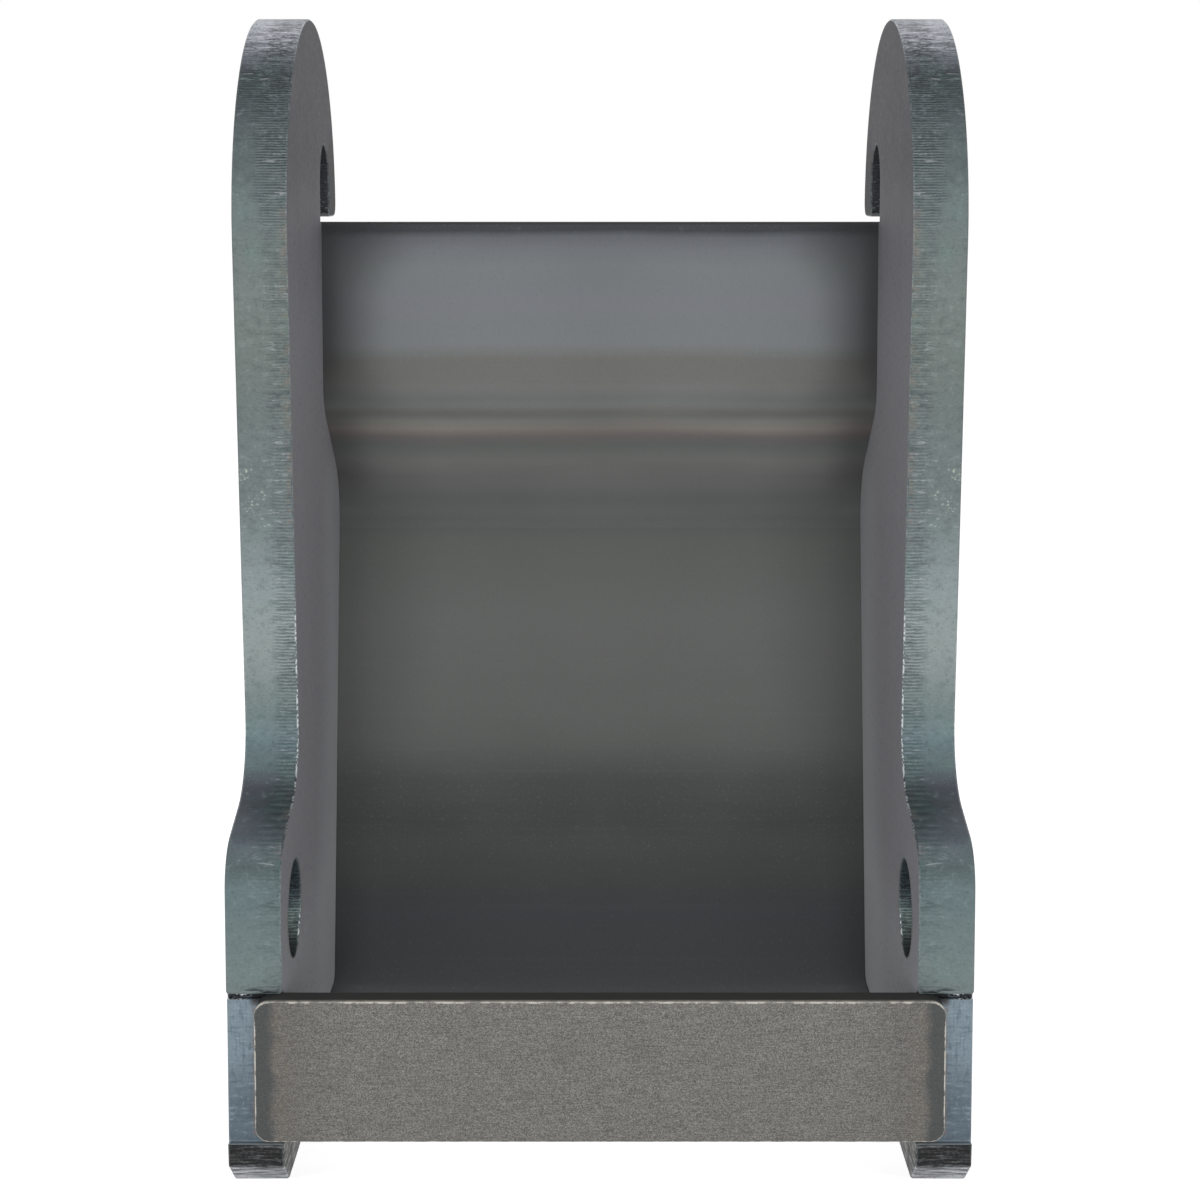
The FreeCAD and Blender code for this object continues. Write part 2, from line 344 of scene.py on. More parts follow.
def addDragLines(at):
    # drag lines of the flame: straight across the thickness, crisp near the inner face,
    # fading toward the outer one, and all over the top of the head
    look, zones = plateFinish, plateZones
    headEdge = at.height.rise(*zones["headEdge"])
    nearInner = at.fromInner.fall(4.0, 12.5).larger(headEdge * 0.8)
    rise = at.height - look["headMiddle"]
    around = (rise / look["headRadius"]).larger(0.0).smaller(1.0).through("ARCSINE") * look["headRadius"]
    along = around + rise.smaller(0.0)                  # mm along the front edge, and round the head
    sway = (1.6 + 1.6 * at.height.rise(*zones["headSway"])) * (at.lines - 0.5) + (at.mottle - 0.5) * 1.2
    closer = (along + 60.0).larger(0.0) * 0.22          # the lines stand closer on the upper part
    wave = ((along + closer + sway) * (2 * pi / look["dragPitch"])).through("SINE")
    comb = wave.rise(-0.3, 0.6) * (0.65 + 0.35 * at.hatch.rise(0.40, 0.58))
    tornEnds = (at.fromInner + (at.lines - 0.5) * 16.0).fall(6.0, 11.0)
    tornEnds = nearInner * tornEnds.larger(headEdge * (0.25 + 0.35 * at.spells))
    strength = 0.10 + 0.10 * at.headTop
    for zone, step in (("lowerLines", 0.55), ("plainLines", -0.30), ("upperLines", 0.58)):
        strength = strength + step * at.height.rise(*zones[zone])
    at.reach = tornEnds * strength * (0.55 + 0.45 * at.spells)
    at.combing = comb * at.reach
    at.crest = wave.fall(-0.95, -0.35)
    at.lineWeight = (0.10 + nearInner * (0.55 + 0.35 * at.spells)) * at.calm
    at.ridges = at.lines.rise(0.58, 0.70) * at.lineWeight


def cutEdgeColour(at):
    look, zones = plateFinish, plateZones
    heated = at.height.within(*zones["heated"]) * at.across.rise(5.0, 14.0)
    grooves = (at.lines.fall(0.37, 0.49) + at.headTop * at.lines.fall(0.46, 0.54) * 0.6).smaller(1.0)
    scores = at.hatch.fall(0.34, 0.46) * at.lineWeight
    patches = at.fold.noise((0.035, 0.05, 0.05), 4.0, 0.6, 2.3)

    # torn skin on top of the head
    torn = at.fold.noise((0.32, 0.80, 0.80), 4.0, 0.78, 2.9)
    tearing = 0.55 + 0.45 * at.fromInner.fall(5.0, 12.0)
    tornSkin = at.height.rise(*zones["tornSkin"])
    tornLight = tearing * (0.05 * tornSkin + 0.39 * at.height.rise(*zones["tornLight"]))
    tornDark = tearing * (0.26 * tornSkin + 0.36 * at.height.rise(*zones["tornDark"]))

    colour = tintsByHeight(at.height, cutTintsWithLightAndShade, look["feet"], look["tall"])
    for mask, cover in (
        (patches.rise(0.52, 0.70) * 0.22, "cutGreen"),
        (heated * 0.34, "heatPurple"),
        (at.mottle.fall(0.34, 0.50) * at.calm * 0.22, "groove"),
        (at.mottle.rise(0.56, 0.72) * at.calm * 0.18, "ridge"),
        (at.crest * at.reach * (0.08 + 0.08 * at.upperCut), "ridge"),
        (at.combing * (1 - 0.35 * at.upperCut), "groove"),
        (at.combing * at.upperCut * 0.60, "darkMarksAndShade"),
        (grooves * at.lineWeight * (0.42 + 0.30 * at.headTop), "groove"),
        (scores * (0.36 + 0.34 * at.headTop), "groove"),
        (at.ridges * (0.30 + 0.45 * at.headTop), "headLight"),
        (at.crumb.rise(0.58, 0.70) * (0.13 + 0.45 * at.headTop), "ridge"),
        (at.crumb.fall(0.34, 0.46) * (0.26 + 0.55 * at.headTop), "groove"),
        (torn.rise(0.53, 0.60) * tornLight, "headLight"),
        (torn.fall(0.40, 0.47) * tornDark, "darkMarksAndShade"),
    ):
        colour = colour.over(mask, look[cover])

    # rust that creeps from the inner rim, and pale flakes of scale under the hook
    rusty = (at.height.within(*zones["rustHigh"]) * 0.6).larger(at.height.within(*zones["rustLow"]) * 0.5)
    rusty = rusty * at.mottle.rise(0.46, 0.60) * at.across.fall(0.8, 4.5)
    colour = colour.over(rusty * 0.45, look["rust"])
    flaky = at.height.within(*zones["flakes"]) * at.across.rise(7.0, 11.0)
    flaky = flaky * at.crumb.rise(0.58, 0.62) * at.mottle.rise(0.48, 0.56)
    return colour.over(flaky * 0.6, look["flake"])


def overHoles(at, colour):
    # walls of the lock bore and of the hook slot
    look, zones = plateFinish, plateZones
    boreRadius, slotRadius, slotFoot = look["lockBore"][2], look["slotRadius"], look["slotFoot"]
    inBore = at.fromBore.fall(boreRadius + 0.1, boreRadius + 0.3)
    fromAxle = distance(at.depth, at.height.larger(0.0), (0.0, 0.0))
    inSlot = fromAxle.fall(slotRadius + 0.3, slotRadius + 0.7) * at.height.rise(slotFoot, slotFoot + 1.0)
    boreLow, boreTall = boreTintsAndHighlight[0][0], boreTintsAndHighlight[-1][0] - boreTintsAndHighlight[0][0]
    wall = tintsByHeight(at.height, boreTintsAndHighlight, boreLow, boreTall)
    wall = wall.over(at.teeth * (0.35 + 0.40 * at.hatch.rise(0.44, 0.54)), look["darkMarksAndShade"])
    wall = wall.over(inSlot, look["slotWall"])
    wall = wall.over(at.lines.fall(0.38, 0.48) * 0.60, look["darkMarksAndShade"])
    wall = wall.over(at.hatch.fall(0.38, 0.48) * 0.70, look["darkMarksAndShade"])
    mouth = inSlot * at.height.fall(*zones["slotMouth"])
    wall = wall.over(at.crumb.rise(0.54, 0.64) * (0.12 + 0.30 * mouth), look["ridge"])
    return colour.over(inBore.larger(inSlot) * 0.92, wall)


def overSeat(at, colour):
    # smeared metal just above the seat of the cross bar
    look, zones = plateFinish, plateZones
    low, high = look["seat"]
    smeared = at.atFront * at.height.within(high - 0.2, high + 0.2, *zones["smears"])
    smeared = smeared * at.smears.fall(0.42, 0.54) * (1 - at.across.rise(8.0, 18.0) * 0.7)
    colour = colour.over(smeared, look["darkMarksAndShade"])

    # the seat: steel blue where the scale came off, with a ragged painted shadow in the relief cut at its
    # upper end, painted shadow beside the bar's end and a painted highlight along its lower shoulder
    runs = at.fold.noise((0.9, 0.3, 0.14), 4.0, 0.66, 9.9)
    wipes = at.fold.noise((0.14, 0.3, 0.7), 4.0, 0.66, 2.8)
    torn = at.height + (at.crumb - 0.5) * 1.6 + (at.smears - 0.5) * 2.0
    # painted shadow in the relief cut
    notch = torn.rise(high - look["relief"] - 0.3, high - look["relief"] + 0.1)
    # painted shadow beside the bar's end
    corner = at.across.fall(9.8, 13.0) * at.height.rise(*zones["barShadowOnSeat"])
    # painted highlight along the seat's lower shoulder
    shoulderHighlight = at.height.fall(low + 0.3, low + 0.9)
    steel = at.height.rise(*zones["seatTints"]).ramp([(0.0, look["seatFoot"]), (1.0, look["seatTop"])])
    for mask, cover in (
        (runs.rise(0.50, 0.66) * 0.45, "seatDeep"),
        (wipes.fall(0.34, 0.48) * 0.40, "seatDeep"),
        (wipes.rise(0.54, 0.68) * 0.45, "seatLight"),
        (at.crumb.rise(0.58, 0.68) * 0.40, "seatLight"),
        (at.crumb.fall(0.32, 0.42) * 0.35, "seatDeep"),
        (at.across.fall(9.6, 12.0) * at.mottle.rise(0.44, 0.56) * 0.6, "rust"),
        (notch * 0.92, "darkMarksAndShade"),
        (notch * at.crumb.rise(0.56, 0.62) * at.across.rise(9.0, 14.0), "burrGlint"),
        (corner * 0.85, "darkMarksAndShade"),
        (shoulderHighlight * 0.5, "seatLight"),
    ):
        steel = steel.over(mask, look[cover])
    seat = at.atFront * at.height.within(low - 0.2, low + 0.2, high - 0.2, high + 0.2)
    return colour.over(seat, steel)


def overToe(at, colour):
    # toe below the seat: dark skin with long scratches, and painted light on the foot's facet, which faces
    # down
    look = plateFinish
    foot = at.height.fall(*plateZones["foot"])
    skin = at.fold.noise((0.09, 0.8, 1.1), 4.0, 0.75, 4.4).ramp(look["toeFront"])
    footSkinAndLight = at.fold.noise((0.07, 0.4, 0.5), 4.0, 0.72, 8.6).ramp(look["toeFootSkinAndLight"])
    skin = skin.over(foot * 0.9, footSkinAndLight)
    skin = skin.over(at.crumb.rise(0.56, 0.66) * (0.12 + 0.30 * foot), look["ridge"])
    skin = skin.over(at.crumb.fall(0.37, 0.46) * 0.65, look["darkMarksAndShade"])
    return colour.over(at.toe * at.depth.fall(-136.0, -120.0), skin)


def faceColour(at):
    # rolled faces: fine specks and pits on a plain skin, faint clouds, a coarse grained toe, and painted
    # light and shade on the inner face
    look, zones = plateFinish, plateZones
    clouds = at.fold.noise((0.02, 0.045, 0.03), 5.0, 0.6, 1.2)
    lip = at.depth.rise(6.0, 16.0) * at.height.within(*zones["lip"])
    # painted shade on the inner face around the head and under the hook's lip
    shaded = (at.height.rise(*zones["headShade"]) * 0.42).larger(lip * 0.85)

    # light that the sheet throws back on the inner face beside it
    runLow, runHigh, slope, runDepth = look["sheetRun"]
    fromSheet = (at.height.larger(runLow) - runHigh) * slope + runDepth - at.depth
    besideSheet = fromSheet.fall(-20.0, 85.0) * at.height.fall(*zones["sheetLight"])
    lift = 0.26 + 0.30 * at.height.fall(*zones["lowLight"])

    # painted highlight on the rim at the sheet's bend, and scorched teeth round the bore
    bend = look["sheetBend"]
    fromBend = abs(distance(at.depth, at.height, bend) - bend[2] + 0.3)
    bendRimGlint = fromBend.fall(0.20, 0.45) * at.height.within(*zones["bendRimGlint"]) * at.depth.rise(24.0, 26.0)
    boreDepth, boreHeight, boreRadius = look["lockBore"]
    besideBore = (((at.depth - boreDepth) * 0.90) ** 2 + (at.height - boreHeight) ** 2) ** 0.5
    boreRim = besideBore.fall(boreRadius + 0.1, boreRadius + 0.9) * at.teeth * at.onInnerFace

    colour = clouds.ramp([(0.30, look["rolledDark"]), (0.62, look["rolledSkin"])])
    for mask, cover in (
        # painted light on the inner face below the head and near the feet, against the shade of the channel
        # between the plates
        (at.onInnerFace * at.height.fall(*zones["paintedInnerLight"]) * 0.8, "paintedInnerLight"),
        (at.onInnerFace * at.height.fall(*zones["paintedLowInnerLight"]) * 0.8, "paintedLowInnerLight"),
        (shaded * at.onInnerFace, "darkMarksAndShade"),
        (at.grain.rise(0.54, 0.66) * 0.50, "rolledSpeck"),
        (at.grain.fall(0.34, 0.46) * 0.55, "rolledPit"),
        (besideSheet * at.onInnerFace * lift, "faceLight"),
        (boreRim * at.hatch.rise(0.36, 0.50) * 0.8, "darkMarksAndShade"),
        (bendRimGlint * at.onInnerFace * at.crumb.rise(0.44, 0.52) * 0.9, "burrGlint"),
    ):
        colour = colour.over(mask, look[cover])
    toeGrain = at.fold.noise((0.5, 0.11, 0.50), 3.0, 0.7, 6.1).ramp(look["toeGrain"])
    toeGrain = toeGrain.over(at.crumb.fall(0.40, 0.48) * 0.40, look["darkMarksAndShade"])
    return colour.over(at.toe * at.depth.fall(-96.0, -78.0) * (0.15 + 0.70 * at.onInnerFace), toeGrain)


def paintedBurrGlints(at):
    # painted glints of light on burrs of the rim: on the lower front, at the rear bend and in the bore's
    # mouth
    zones = plateZones
    front = at.height.within(*zones["frontGlints"]) * at.depth.fall(-60.0, -40.0)
    rearBend = at.depth.rise(0.0, 8.0) * at.height.within(*zones["bendGlints"])
    bore = at.fromBore.fall(19.5, 20.0) * at.depth.rise(-112.0, -108.0)
    return front.larger(rearBend).larger(bore * at.height.within(*zones["boreGlints"]))


def makePlateFinish():
    # one material for both side plates
    look = plateFinish
    material, shader, place = startMaterial("flameCutPlate")
    at = markPlate(place)
    colour = overHoles(at, cutEdgeColour(at))
    colour = overToe(at, overSeat(at, colour))
    colour = colour.over(at.face, faceColour(at))

    # rim between a face and a cut edge, with a faint painted highlight all along and painted glints on its
    # burrs
    rim = (1 - at.face) * (1 - at.cut)
    rim = rim * (1 - 0.8 * at.across.rise(8.0, 12.0))
    beads = place.node("ShaderNodeTexNoise", {}, {"Vector": at.fold, "Scale": 0.8, "Detail": 3.0})
    colour = colour.over(rim * 0.06, look["ridge"])
    colour = colour.over(rim * beads.rise(0.46, 0.56) * (0.10 + 0.85 * paintedBurrGlints(at)), look["burrGlint"])

    relief = at.lines * at.lineWeight * 0.5 - at.combing * 0.5 + at.hatch * at.lineWeight * 0.4
    relief = relief + at.crumb * 0.30 + at.mottle * 0.30
    relief = relief * at.cut + at.grain * 0.14 * at.face + beads * rim
    rough = 0.42 + 0.16 * at.mottle - at.ridges * 0.08
    connect(material, shader, {
        "Base Color": colour,
        "Metallic": 0.70 - 0.55 * at.face,
        "Specular IOR Level": 0.3,
        "Roughness": rough + 0.20 * at.face,
        "Normal": bumped(relief, 0.7, 0.30),
    })
    return material


sheetFinish = {
    "sideFace": 113.0,                                  # mm from the middle to the side plates
    "halfWidth": 123.0,
    "feet": -361.5,
    "tall": 346.0,
    "topEdge": -16.0,
    "heatBlue": grey(78, 84, 98),
    "heatStraw": grey(118, 106, 88),
    "edgeBlack": grey(30, 31, 33),
    "paintedCornerShade": grey(12, 12, 13),
    "rearSkin": grey(104, 105, 108),
    "streak": grey(126, 128, 130),
    "dust": grey(74, 76, 78),
}

# Heights in mm between which the painted shade beside the side plates comes in, and ends
sheetShadeZones = {
    "upper": (-105.0, -70.0),
    "low": (-300.0, -200.0),
    "top": (-48.0, -22.0),
    "atBend": (-150.0, -122.0, -100.0, -88.0),
    "belowBend": (-262.0, -235.0, -150.0, -128.0),
}

# Painted light and shade of the rolled sheet from its lower end to its top edge, with a painted highlight on
# the sloping bend and painted shade low down behind the cross bar: height in mm, colour
sheetLightAndShade = [
    (-361.5, grey(70, 71, 73)), (-321.0, grey(78, 79, 82)), (-310.0, grey(80, 81, 85)),
    (-300.0, grey(79, 81, 81)), (-289.0, grey(64, 67, 65)), (-272.0, grey(57, 59, 58)),
    (-256.0, grey(66, 68, 67)), (-239.0, grey(91, 93, 91)), (-222.0, grey(97, 99, 97)),
    (-188.0, grey(103, 105, 103)), (-154.0, grey(100, 103, 100)), (-150.0, grey(96, 98, 97)),
    (-145.0, grey(85, 88, 86)), (-137.0, grey(106, 108, 107)), (-126.0, grey(134, 135, 133)),
    (-118.0, grey(182, 183, 180)), (-110.0, grey(160, 164, 162)), (-106.0, grey(173, 163, 162)),
    (-102.0, grey(203, 194, 186)), (-98.0, grey(187, 188, 182)), (-94.0, grey(148, 147, 144)),
    (-90.0, grey(134, 138, 136)), (-88.0, grey(124, 126, 125)), (-80.0, grey(101, 101, 98)),
    (-72.0, grey(101, 101, 98)), (-66.0, grey(114, 118, 120)), (-48.0, grey(114, 117, 122)),
    (-34.0, grey(114, 119, 120)), (-27.0, grey(107, 110, 116)), (-22.0, grey(91, 95, 100)),
    (-19.5, grey(44, 47, 53)), (-17.0, grey(46, 48, 52)),
]


def makeSheetFinish():
    look = sheetFinish
    material, shader, place = startMaterial("bentSheet")
    across = abs(place.axis(0))
    height = place.axis(2)
    depth = place.axis(1)
    fold = place.node("ShaderNodeCombineXYZ", {}, {0: across, 1: depth, 2: height})
    sway = (place.noise((0.02, 0.02, 0.02), 3.0, 0.5, 4.0) - 0.5) * 3.0
    colour = tintsByHeight(height + sway, sheetLightAndShade, look["feet"], look["tall"])
    facing = place.node("ShaderNodeTexCoord", {}, {}, "Normal").axis(1)
    rear = facing.rise(-0.05, 0.05)
    colour = colour.over(rear, look["rearSkin"])
    streaks = fold.noise((0.006, 0.5, 0.5), 4.0, 0.6, 6.0)
    grain = fold.noise((0.9, 0.9, 0.9), 3.0, 0.7, 2.0)
    clouds = fold.noise((0.012, 0.03, 0.02), 4.0, 0.6, 9.0)
    colour = colour.over(streaks.rise(0.52, 0.75) * (0.05 + 0.10 * rear), look["streak"])
    colour = colour.over(clouds.fall(0.32, 0.60) * (0.10 + 0.15 * rear), look["dust"])
    colour = colour.over(grain.rise(0.55, 0.75) * 0.22, look["streak"])
    colour = colour.over(grain.fall(0.25, 0.45) * 0.22, look["dust"])

    # painted shade toward the side plates, in the corners where the sheet meets them: a deep narrow band
    # high up, a wide faint one below
    upper = height.rise(*sheetShadeZones["upper"])
    low = height.fall(*sheetShadeZones["low"])
    fromPlate = (look["sideFace"] - across).larger(0.0)
    shadeReach = 50.0 - 20.0 * upper + 16.0 * height.rise(*sheetShadeZones["top"]) - 32.0 * low
    shadeWeight = (0.33 + 0.47 * upper - 0.06 * low) * (1 - rear)
    colour = colour.over((fromPlate / shadeReach).fall(0.0, 1.0) * shadeWeight, look["paintedCornerShade"])
    closeShade = fromPlate.fall(0.0, 9.0) * upper * 0.44
    closeShade = closeShade.larger(fromPlate.fall(0.0, 22.0) * height.within(*sheetShadeZones["atBend"]) * 0.50)
    closeShade = closeShade.larger(fromPlate.fall(0.0, 18.0) * height.within(*sheetShadeZones["belowBend"]) * 0.18)
    colour = colour.over(closeShade * (1 - rear), look["paintedCornerShade"])

    # heat tints of the long welds at the rear
    fromWeld = look["halfWidth"] - across + (clouds - 0.5) * 5.0
    colour = colour.over(rear * fromWeld.fall(3.0, 9.0) * 0.35, look["heatBlue"])
    colour = colour.over(rear * fromWeld.within(4.0, 8.0, 9.0, 14.0) * 0.30, look["heatStraw"])
    topEdge = height.rise(look["topEdge"] - 1.4, look["topEdge"] - 0.6)
    colour = colour.over(topEdge, look["edgeBlack"])
    relief = grain * 0.5 + streaks * 0.15
    connect(material, shader, {
        "Base Color": colour,
        "Metallic": 0.35,
        "Roughness": 0.42 + 0.12 * clouds,
        "Normal": bumped(relief, 0.35, 0.12),
    })
    return material


barFinish = {
    "halfLength": 122.0,
    "halfHeight": 25.5,
    "middle": -313.1,                                   # height of the bar's middle from the axle axis
    "corner": 5.0,
    "frontFace": (-160.6, -160.0),                      # depths between which the front face ends
    "skin": grey(99, 98, 94),
    "skinLight": grey(136, 134, 129),
    "skinDark": grey(66, 65, 64),
    "paintedEndShade": grey(56, 60, 62),
    "rust": grey(120, 102, 86),
    "edgeHighlight": grey(192, 188, 179),
    "paintedDarkReflection": grey(41, 41, 41),
}


def makeBarFinish():
    look = barFinish
    material, shader, place = startMaterial("flatBar")
    across = abs(place.axis(0))
    up = place.axis(2) - look["middle"]
    depth = place.axis(1)
    fold = place.node("ShaderNodeCombineXYZ", {}, {0: across, 1: depth, 2: up})
    grain = place.noise((1.4, 2.5, 2.5), 4.0, 0.9, 1.0)
    salt = place.noise((2.3, 2.9, 2.9), 2.0, 0.8, 5.0)
    mixed = (grain + salt) * 0.5
    clouds = fold.noise((0.05, 0.05, 0.08), 4.0, 0.6, 3.0)
    brushed = place.noise((0.10, 1.3, 1.5), 3.0, 0.7, 8.0)
    chips = fold.noise((0.22, 0.22, 0.22), 4.0, 0.7, 6.0)

    # distance from the outline of the front face, a rectangle with round corners
    right = (across - (look["halfLength"] - look["corner"])).larger(0.0)
    above = (abs(up) - (look["halfHeight"] - look["corner"])).larger(0.0)
    fromCorner = (right ** 2 + above ** 2) ** 0.5
    inside = look["corner"] - fromCorner
    inset = (look["halfLength"] - across).smaller(look["halfHeight"] - abs(up)).smaller(inside)
    front = depth.fall(*look["frontFace"])

    colour = mixed.ramp([(0.40, look["skinDark"]), (0.50, look["skin"]), (0.60, look["skinLight"])])
    colour = colour.over(clouds.rise(0.50, 0.72) * 0.16, look["skinDark"])
    colour = colour.over(brushed.rise(0.52, 0.64) * 0.28, look["skinDark"])
    colour = colour.over(brushed.fall(0.36, 0.48) * 0.20, look["skinLight"])
    fromEnd = look["halfLength"] - across
    unevenEnd = fromEnd + (clouds - 0.5) * 5.0 + (chips - 0.5) * 2.4 + (grain - 0.5) * 1.2
    colour = colour.over(unevenEnd.fall(9.0, 16.0) * chips.rise(0.40, 0.58) * 0.20, look["rust"])
    # painted shade toward both ends, and a darker band at each end where the face rounds off
    colour = colour.over(fromEnd.fall(8.0, 34.0) * 0.28, look["skinDark"])
    colour = colour.over(unevenEnd.fall(4.2, 8.2) * 0.80, look["paintedEndShade"])
    colour = colour.over(salt.rise(0.60, 0.70) * 0.20, look["skinLight"])

    # painted highlight along the outline of the front face, broken in places
    highlightWidth = 0.14 + 0.28 * chips.rise(0.36, 0.60)
    edgeGlint = ((inset + (grain - 0.5) * 0.9) / highlightWidth).fall(0.8, 1.6)
    colour = colour.over(edgeGlint * front * (0.40 + 0.48 * chips.rise(0.40, 0.58)), look["edgeHighlight"])
    # painted dark reflection on the faces behind the front one
    colour = colour.over((1 - front) * (depth + 160.0).rise(0.0, 1.2) * 0.85, look["paintedDarkReflection"])
    relief = grain * 0.6 + salt * 0.4 + brushed * 0.3
    connect(material, shader, {
        "Base Color": colour,
        "Metallic": 0.6,
        "Roughness": 0.50 + 0.12 * grain,
        "Normal": bumped(relief, 0.25, 0.15),
    })
    return material


weldFinish = {
    "tints": [(0.30, grey(62, 62, 66)), (0.48, grey(92, 91, 91)), (0.62, grey(104, 96, 86)),
              (0.74, grey(76, 82, 94))],
    "speck": grey(142, 141, 139),
    "pit": grey(44, 44, 46),
}


def makeWeldFinish():
    look = weldFinish
    material, shader, place = startMaterial("weldMetal")
    clouds = place.noise((0.12, 0.12, 0.12), 4.0, 0.6, 1.0)
    grain = place.noise((1.4, 1.4, 1.4), 3.0, 0.7, 4.0)
    colour = clouds.ramp(look["tints"])
    colour = colour.over(grain.rise(0.58, 0.68) * 0.40, look["speck"])
    colour = colour.over(grain.fall(0.32, 0.42) * 0.40, look["pit"])
    connect(material, shader, {
        "Base Color": colour,
        "Metallic": 0.7,
        "Roughness": 0.38 + 0.16 * grain,
        "Normal": bumped(grain, 0.5, 0.15),
    })
    return material


def dress(nodeName, material):
    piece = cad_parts[nodeName]
    piece.data.materials.clear()
    piece.data.materials.append(material)


weldBead = {
    "radius": 6.0 * mm,                                 # reach of a bead from the corner that it fills
    "ripple": 1.9 * mm,
    "swell": 1.07,                                      # how far the crest of a ripple stands over its foot
    "faces": 16,
    "unevenness": 0.7 * mm,
    "unevenSize": 4.0 * mm,
    "endReach": 1.6 * mm,
}

seamRoute = {
    "across": 123.0 * mm,                               # half the width of the sheet
    "corners": [                                        # depth, height and radius of each bend, in mm
        (-12.0, -22.0, 0.0), (-12.0, -90.1, 18.0), (46.6, -130.0, 30.0), (9.2, -328.5, 0.0),
    ],
}

heelRoute = {
    "across": (123.0 * mm, 116.0 * mm),
    "depth": 4.0 * mm,
    "height": -340.0 * mm,
    "radius": 5.4 * mm,
}

barWeldRoute = {"across": 113.0 * mm, "depth": -152.0 * mm, "low": -334.0 * mm, "high": -292.5 * mm}


def selectOnly(piece):
    bpy.ops.object.select_all(action="DESELECT")
    piece.select_set(True)
    bpy.context.view_layer.objects.active = piece


def bendHandles(before, corner, after, radius):
    # start and end of the arc that rounds a corner, and the length of its handles
    back = (before - corner).normalized()
    ahead = (after - corner).normalized()
    half = back.angle(ahead) / 2
    reach = radius / tan(half)
    handle = 4 / 3 * tan((pi / 2 - half) / 2) * radius
    return corner + back * reach, corner + ahead * reach, back * handle, ahead * handle


def drawRoute(name, corners):
    # a Bezier line through (place, radius) corners, with true arcs at the bends
    bpy.ops.curve.primitive_bezier_curve_add(location=(0, 0, 0))
    line = bpy.context.object
    line.name = name
    places = [place for place, radius in corners]
    knots = [(places[0], places[0], places[0])]
    for before, (corner, radius), after in zip(places, corners[1:-1], places[2:]):
        start, end, back, ahead = bendHandles(before, corner, after, radius)
        knots.append((start, start, start - back))
        knots.append((end, end - ahead, end))
    knots.append((places[-1], places[-1], places[-1]))
    spline = line.data.splines[0]
    spline.bezier_points.add(len(knots) - 2)
    for point, (place, left, right) in zip(spline.bezier_points, knots):
        point.handle_left_type = point.handle_right_type = "FREE"
        point.co, point.handle_left, point.handle_right = place, left, right
    line.data.dimensions = "3D"
    line.data.twist_mode = "MINIMUM"
    line.data.resolution_u = 24
    return line, spline.calc_length()


def closeEnds(piece, ends):
    # each open end is drawn in and closed
    bpy.ops.object.mode_set(mode="EDIT")
    bpy.ops.mesh.select_mode(type="EDGE")
    for place, onward in ends:
        for size, step in ((0.86, 0.5), (0.55, 0.35)):
            bpy.ops.mesh.select_all(action="DESELECT")
            bpy.ops.mesh.select_non_manifold()
            bpy.ops.object.mode_set(mode="OBJECT")
            mesh = piece.data
            for edge in mesh.edges:
                away = (mesh.vertices[edge.vertices[0]].co - place).length
                if edge.select and away > weldBead["radius"] * 2:
                    edge.select = False
            bpy.ops.object.mode_set(mode="EDIT")
            move = onward.normalized() * weldBead["endReach"] * step
            bpy.ops.mesh.extrude_region_move(TRANSFORM_OT_translate={"value": move})
            bpy.ops.transform.resize(value=(size, size, size))
    bpy.ops.mesh.select_all(action="DESELECT")
    bpy.ops.mesh.select_non_manifold()
    bpy.ops.mesh.fill_holes(sides=0)
    bpy.ops.mesh.select_all(action="SELECT")
    bpy.ops.mesh.normals_make_consistent(inside=False)
    bpy.ops.object.mode_set(mode="OBJECT")


def layBead(name, corners, radius, cloud):
    # one ripple, repeated along the route, made uneven and closed
    look = weldBead
    line, length = drawRoute(name + "Route", corners)
    count = max(3, round(length / look["ripple"]))
    pitch = length / count
    bpy.ops.object.select_all(action="DESELECT")
    bpy.ops.mesh.primitive_circle_add(vertices=look["faces"], radius=radius, rotation=(0, radians(90), 0))
    bead = bpy.context.object
    bead.name = name
    bpy.ops.object.transform_apply(location=True, rotation=True, scale=True)
    bpy.ops.object.mode_set(mode="EDIT")
    bpy.ops.mesh.select_all(action="SELECT")
    for share, size in ((0.30, look["swell"]), (0.35, 1.0), (0.35, 1 / look["swell"])):
        bpy.ops.mesh.extrude_region_move(TRANSFORM_OT_translate={"value": (pitch * share, 0, 0)})
        bpy.ops.transform.resize(value=(1.0, size, size))
    bpy.ops.object.mode_set(mode="OBJECT")

    row = bead.modifiers.new("row", "ARRAY")
    row.count = count
    row.use_relative_offset = False
    row.use_constant_offset = True
    row.constant_offset_displace = (pitch, 0, 0)
    row.use_merge_vertices = True
    row.merge_threshold = 0.02 * mm
    bend = bead.modifiers.new("bend", "CURVE")
    bend.object = line
    bend.deform_axis = "POS_X"
    uneven = bead.modifiers.new("uneven", "DISPLACE")
    uneven.texture = cloud
    uneven.texture_coords = "LOCAL"
    uneven.strength = look["unevenness"]
    uneven.mid_level = 0.5
    for name in ("row", "bend", "uneven"):
        selectOnly(bead)
        bpy.ops.object.modifier_apply(modifier=name)
    first, last = corners[0][0], corners[-1][0]
    closeEnds(bead, [(first, first - corners[1][0]), (last, last - corners[-2][0])])
    bpy.data.objects.remove(line)
    selectOnly(bead)
    bpy.ops.object.shade_smooth()
    return bead


def seatBead(bead, nodeName, material):
    bead.data.materials.clear()
    bead.data.materials.append(material)
    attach(bead, "root")
    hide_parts(nodeName)


